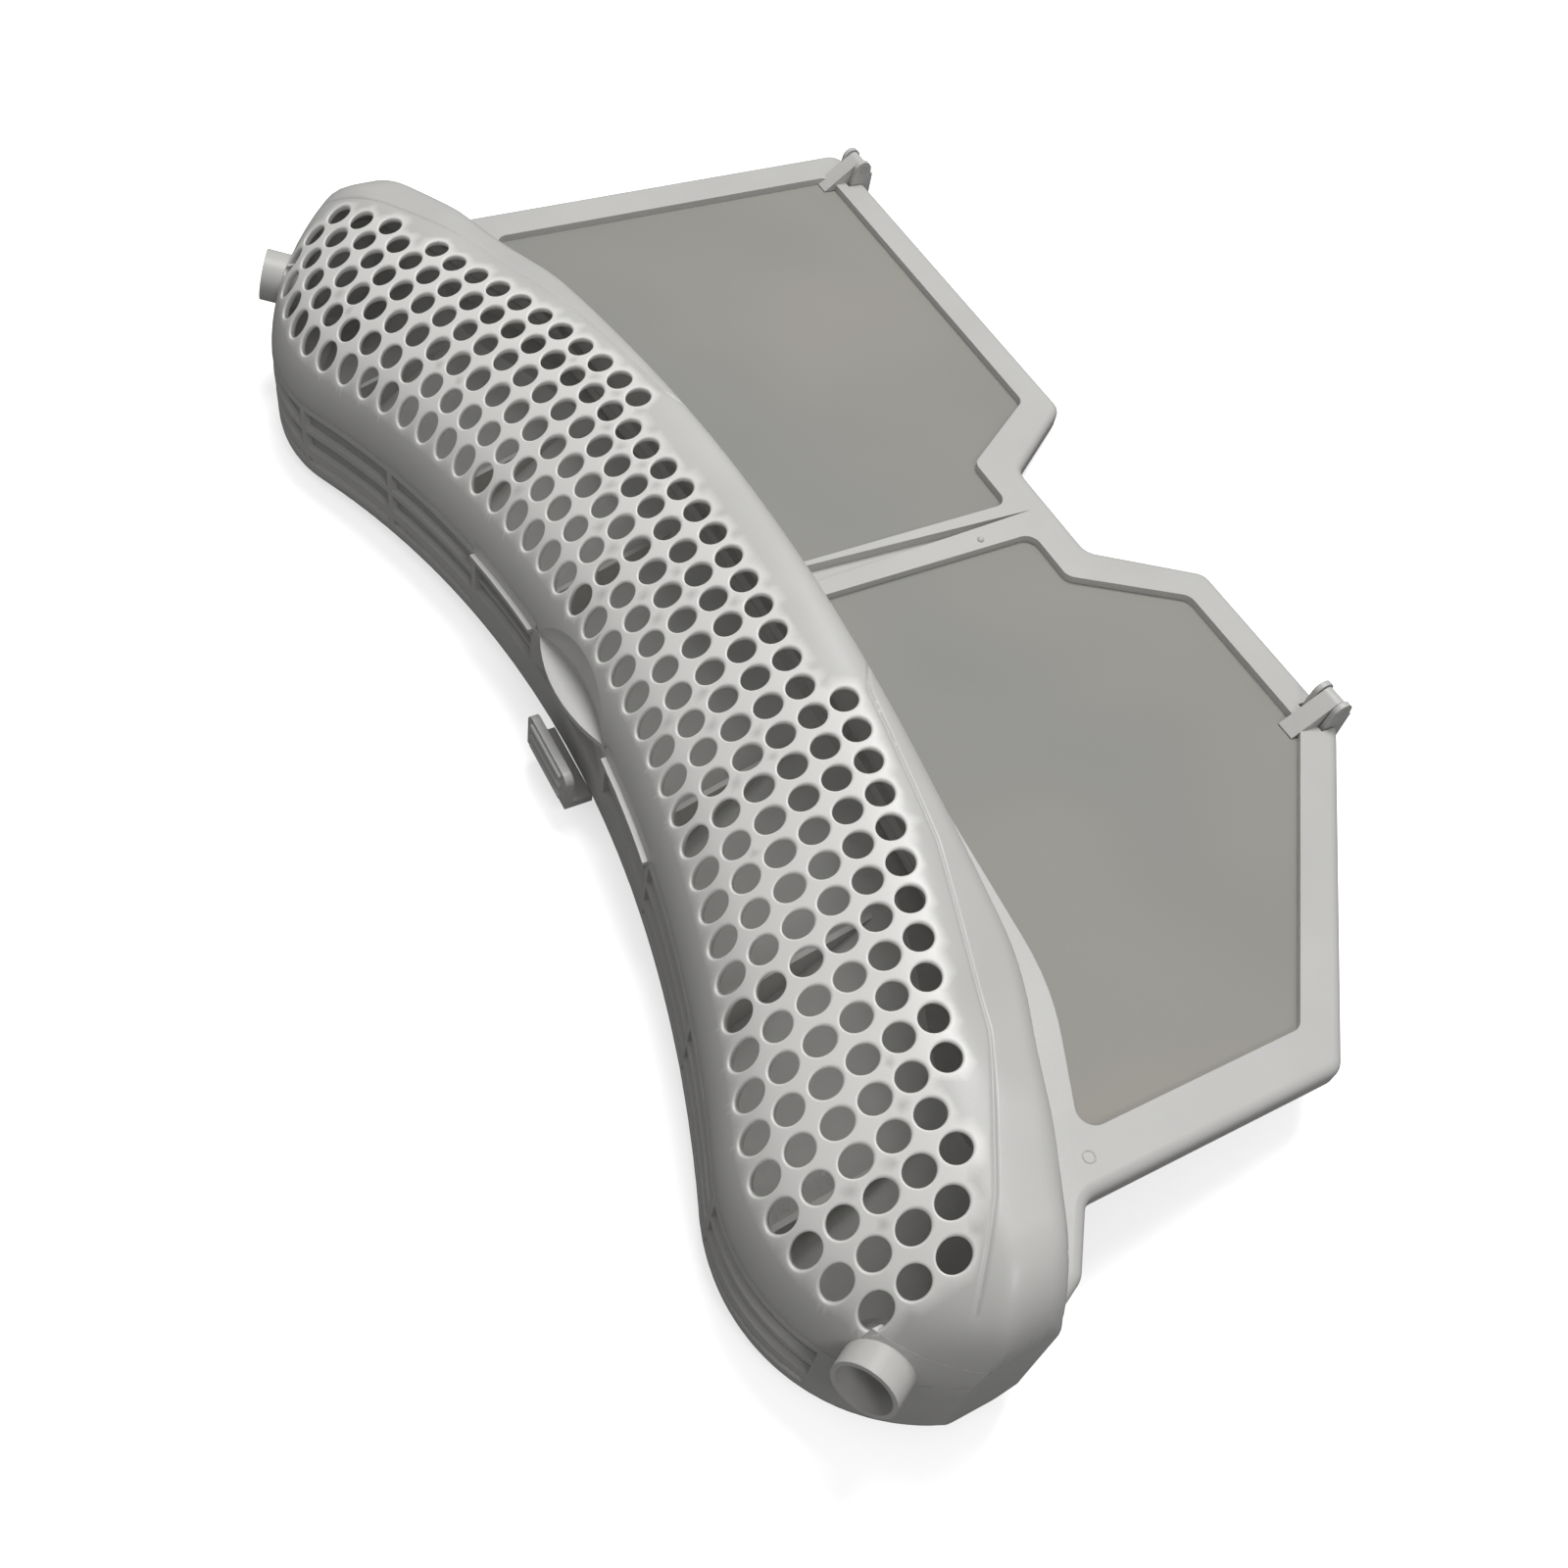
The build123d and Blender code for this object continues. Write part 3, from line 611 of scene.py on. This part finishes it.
def ease_hole(shell, hole, plan, normals, loop, below):
    """Round the hole's mouth over in rings, then run its wall to the inner face."""
    inwards = np.column_stack((hole.centre - plan, np.zeros(len(plan))))
    inwards /= np.linalg.norm(inwards, axis=1)[:, None]
    ring, ring_normals = loop, normals
    for angle in np.radians(EASE_ANGLES):
        radius = HOLE_RADIUS + EASE_RADIUS * (1 - math.sin(angle))
        at = hole.centre + (plan - hole.centre) * radius / (HOLE_RADIUS + EASE_RADIUS)
        sunk = hole.axis * EASE_RADIUS * (1 - math.cos(angle))
        # The eased rings carry the full painted rim highlight
        next_ring = shell.add_points(np.column_stack((at, skin_z(at))) - sunk, rim_highlight=1.0)
        next_normals = math.cos(angle) * normals + math.sin(angle) * inwards
        next_normals /= np.linalg.norm(next_normals, axis=1)[:, None]
        shell.bridge(ring, next_ring, ring_normals, next_normals)
        ring, ring_normals = next_ring, next_normals
    shell.bridge(ring, below, inwards, inwards)


def close_border(shell, plan, top, loop, below):
    """Run the outer border down to the parting and back up inside."""
    x, y = plan[:, 0], plan[:, 1]
    on_wall = (y < wall_edge_y(x) + WALL_TOUCH) & (np.abs(x) < END_ZONE_X)
    floor = np.where(on_wall, parting_z(x, y), skirt_bottom(x))
    floor = np.minimum(floor, top[:, 2] - LEAST_SKIRT)
    inner = np.array([shell.points[i] for i in below])
    inner_floor = np.minimum(floor, inner[:, 2] - LEAST_SKIRT)
    bottom = shell.add_points(np.column_stack((plan, floor)))
    back = shell.add_points(np.column_stack((inner[:, :2], inner_floor)))
    shell.bridge(loop, bottom)
    shell.bridge(bottom, back)
    shell.bridge(back, below)


def new_object(name, shell):
    """A shell as an object in the resting frame, with its own corner normals and its painted
    rim-highlight values.
    """
    mesh = bpy.data.meshes.new(name)
    mesh.from_pydata([tuple(p) for p in placed_all(shell.points)], [], shell.faces)
    mesh.shade_smooth()
    turned = np.asarray(shell.normals) @ np.array(TURN).T
    mesh.normals_split_custom_set([tuple(n) for n in turned])
    # The painted highlight on the hole rims goes to the material as a point attribute
    rim_highlight = mesh.attributes.new("rim_highlight", "FLOAT", "POINT")
    rim_highlight.data.foreach_set("value", shell.rim_highlight)
    obj = bpy.data.objects.new(name, mesh)
    bpy.context.scene.collection.objects.link(obj)
    return obj


# Materials
def node_material(name):
    material = bpy.data.materials.new(name)
    material.use_nodes = True
    nodes = material.node_tree.nodes
    return material, nodes, material.node_tree.links, nodes["Principled BSDF"]


def scaled(tone, share):
    return tuple(c * share for c in tone)


def add_noise(nodes, links, scale, detail=3.0):
    coords = nodes.new("ShaderNodeTexCoord")
    noise = nodes.new("ShaderNodeTexNoise")
    noise.inputs["Scale"].default_value = scale
    noise.inputs["Detail"].default_value = detail
    links.new(coords.outputs["Object"], noise.inputs["Vector"])
    return noise


def ramp(nodes, links, source, low, high, start=0.35, end=0.65):
    node = nodes.new("ShaderNodeValToRGB")
    node.color_ramp.elements[0].position = start
    node.color_ramp.elements[1].position = end
    node.color_ramp.elements[0].color = (*low, 1)
    node.color_ramp.elements[1].color = (*high, 1)
    links.new(source, node.inputs["Fac"])
    return node


def plastic(name, tone, edge_round=EDGE_ROUND):
    """Moulded plastic: faint cloudiness, fine grain, softened edges, and hole rims painted paler
    as a highlight.
    """
    material, nodes, links, shader = node_material(name)
    cloud = add_noise(nodes, links, CLOUD_SCALE)
    low, high = (scaled(tone, share) for share in CLOUD_RANGE)
    colour = ramp(nodes, links, cloud.outputs["Fac"], low, high)
    # Painted highlight: where a point is marked as a hole rim, the base colour is mixed towards a
    # paler tone
    rim_highlight = nodes.new("ShaderNodeAttribute")
    rim_highlight.attribute_name = "rim_highlight"
    painted_highlight = nodes.new("ShaderNodeMix")
    painted_highlight.data_type = "RGBA"
    painted_highlight.inputs["B"].default_value = (*scaled(tone, RIM_HIGHLIGHT_BRIGHTNESS), 1)
    links.new(rim_highlight.outputs["Fac"], painted_highlight.inputs["Factor"])
    links.new(colour.outputs["Color"], painted_highlight.inputs["A"])
    links.new(painted_highlight.outputs["Result"], shader.inputs["Base Color"])
    wear = add_noise(nodes, links, WEAR_SCALE, WEAR_DETAIL)
    smooth, rough = ((level,) * 3 for level in ROUGHNESS_RANGE)
    roughness = ramp(nodes, links, wear.outputs["Fac"], smooth, rough)
    links.new(roughness.outputs["Color"], shader.inputs["Roughness"])
    grain = add_noise(nodes, links, GRAIN_SCALE, GRAIN_DETAIL)
    edge = nodes.new("ShaderNodeBevel")
    edge.samples = 4
    edge.inputs["Radius"].default_value = edge_round
    bump = nodes.new("ShaderNodeBump")
    bump.inputs["Strength"].default_value = GRAIN_STRENGTH
    bump.inputs["Distance"].default_value = BUMP_DEPTH
    links.new(grain.outputs["Fac"], bump.inputs["Height"])
    links.new(edge.outputs["Normal"], bump.inputs["Normal"])
    links.new(bump.outputs["Normal"], shader.inputs["Normal"])
    return material


def mesh_cloth(name, tone):
    """Fine woven screen: thread bump in two directions over a soft tone drift."""
    material, nodes, links, shader = node_material(name)
    drift = add_noise(nodes, links, DRIFT_SCALE, DRIFT_DETAIL)
    low = tuple(c * k for c, k in zip(tone, DRIFT_LOW))
    high = tuple(c * k for c, k in zip(tone, DRIFT_HIGH))
    colour = ramp(nodes, links, drift.outputs["Fac"], low, high, start=0.3, end=0.7)
    links.new(colour.outputs["Color"], shader.inputs["Base Color"])
    coords = nodes.new("ShaderNodeTexCoord")
    heights = []
    for direction in ("X", "Y"):
        wave = nodes.new("ShaderNodeTexWave")
        wave.bands_direction = direction
        wave.inputs["Scale"].default_value = THREAD_SCALE
        links.new(coords.outputs["Object"], wave.inputs["Vector"])
        heights.append(wave.outputs["Fac"])
    weave = nodes.new("ShaderNodeMath")
    weave.operation = "MAXIMUM"
    links.new(heights[0], weave.inputs[0])
    links.new(heights[1], weave.inputs[1])
    bump = nodes.new("ShaderNodeBump")
    bump.inputs["Strength"].default_value = THREAD_STRENGTH
    bump.inputs["Distance"].default_value = BUMP_DEPTH
    links.new(weave.outputs["Value"], bump.inputs["Height"])
    links.new(bump.outputs["Normal"], shader.inputs["Normal"])
    shader.inputs["Roughness"].default_value = SCREEN_ROUGHNESS
    shader.inputs["Specular IOR Level"].default_value = SCREEN_SHINE
    return material


SHELL_PLASTIC = plastic("shell_plastic", PLASTIC_TONE)
FRAME_PLASTIC = plastic("frame_plastic", scaled(PLASTIC_TONE, FRAME_SHARE))
PIN_PLASTIC = plastic("pin_plastic", scaled(PLASTIC_TONE, PIN_SHARE), PIN_EDGE_ROUND)
SCREEN = mesh_cloth("screen_cloth", SCREEN_TONE)
SLOT_SCREEN = mesh_cloth("slot_cloth", SLOT_SCREEN_TONE)

NODE_MATERIALS = {
    "front_frame": FRAME_PLASTIC, "rear_frame": FRAME_PLASTIC, "rear_shell": SHELL_PLASTIC,
    "latch_tongue": SHELL_PLASTIC, "front_grille": SHELL_PLASTIC,
    "hinge_pin_left": PIN_PLASTIC, "hinge_pin_right": PIN_PLASTIC,
    "front_mesh_left": SCREEN, "front_mesh_right": SCREEN,
    "rear_mesh_left": SCREEN, "rear_mesh_right": SCREEN,
    "shell_mesh_left": SLOT_SCREEN, "shell_mesh_right": SLOT_SCREEN,
}
for node_name, material in NODE_MATERIALS.items():
    for slot in frame["nodes"][node_name].material_slots:
        slot.material = material


# The pieces that this scene adds: the fine cover and two moulding marks
grille = new_object("grille_cover", grille_cover())
grille.data.materials.append(SHELL_PLASTIC)
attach(grille, "front_half")
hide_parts("front_grille")


def add_mark(name, made):
    made.name = name
    made.data.materials.append(FRAME_PLASTIC)
    made.data.shade_smooth()
    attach(made, "front_half")


bpy.ops.mesh.primitive_torus_add(
    major_radius=GATE_RADIUS * MM, minor_radius=GATE_BEAD * MM, major_segments=32,
    minor_segments=8, location=placed(GATE_MARK), rotation=TURN.to_euler(),
)
add_mark("gate_mark", bpy.context.object)
bpy.ops.mesh.primitive_uv_sphere_add(
    segments=20, ring_count=10, radius=NUB_RADIUS * MM, location=placed(NUB)
)
add_mark("bar_nub", bpy.context.object)


# Stage: floor, light and camera
def add_floor():
    """A white floor to the camera that throws less light back at the part."""
    half = FLOOR_HALF_WIDTH
    corners = [(-half, -half, 0), (half, -half, 0), (half, half, 0), (-half, half, 0)]
    mesh = bpy.data.meshes.new("floor")
    mesh.from_pydata(corners, [], [(0, 1, 2, 3)])
    floor = bpy.data.objects.new("floor", mesh)
    bpy.context.scene.collection.objects.link(floor)
    material, nodes, links, shader = node_material("floor_white")
    path = nodes.new("ShaderNodeLightPath")
    tone = nodes.new("ShaderNodeMix")
    tone.data_type = "RGBA"
    tone.inputs["A"].default_value = (*(FLOOR_BOUNCE,) * 3, 1)
    tone.inputs["B"].default_value = (*(FLOOR_WHITE,) * 3, 1)
    links.new(path.outputs["Is Camera Ray"], tone.inputs["Factor"])
    links.new(tone.outputs["Result"], shader.inputs["Base Color"])
    glow = nodes.new("ShaderNodeMix")
    glow.inputs["A"].default_value = 0.0
    glow.inputs["B"].default_value = FLOOR_GLOW
    links.new(path.outputs["Is Camera Ray"], glow.inputs["Factor"])
    links.new(glow.outputs["Result"], shader.inputs["Emission Strength"])
    shader.inputs["Emission Color"].default_value = (1, 1, 1, 1)
    shader.inputs["Roughness"].default_value = FLOOR_ROUGHNESS
    shader.inputs["Specular IOR Level"].default_value = 0.0
    mesh.materials.append(material)


def add_light(name, at, size, power):
    data = bpy.data.lights.new(name, "AREA")
    data.size = size
    data.energy = power
    lamp = bpy.data.objects.new(name, data)
    lamp.location = at
    direction = Vector(LIGHT_AIM) - Vector(at)
    lamp.rotation_euler = direction.to_track_quat("-Z", "Y").to_euler()
    bpy.context.scene.collection.objects.link(lamp)


def add_world():
    """White to the camera, a dim even sky to the part."""
    world = bpy.data.worlds.new("studio")
    world.use_nodes = True
    nodes, links = world.node_tree.nodes, world.node_tree.links
    path = nodes.new("ShaderNodeLightPath")
    strength = nodes.new("ShaderNodeMix")
    strength.inputs["A"].default_value = SKY_ON_PART
    strength.inputs["B"].default_value = 1.0
    links.new(path.outputs["Is Camera Ray"], strength.inputs["Factor"])
    links.new(strength.outputs["Result"], nodes["Background"].inputs["Strength"])
    nodes["Background"].inputs["Color"].default_value = (1, 1, 1, 1)
    bpy.context.scene.world = world


def add_camera():
    """The photographed view, solved in the panel's own axes."""
    data = bpy.data.cameras.new("camera")
    data.sensor_width = SENSOR
    data.lens = SENSOR * FOCAL_PIXELS / PICTURE_WIDTH
    camera = bpy.data.objects.new("camera", data)
    right = (TURN @ Vector(CAMERA_RIGHT)).normalized()
    up = -(TURN @ Vector(CAMERA_DOWN)).normalized()
    back = right.cross(up).normalized()
    up = back.cross(right)
    matrix = Matrix((right, up, back)).transposed().to_4x4()
    matrix.translation = placed(CAMERA_AT)
    camera.matrix_world = matrix
    bpy.context.scene.collection.objects.link(camera)
    bpy.context.scene.camera = camera


add_floor()
add_camera()
add_world()
add_light("key", at=(-0.2, 0.45, 1.05), size=0.45, power=9.2)
add_light("side", at=(0.75, 0.1, 0.85), size=0.25, power=1.5)
bpy.context.scene.view_settings.view_transform = "Standard"
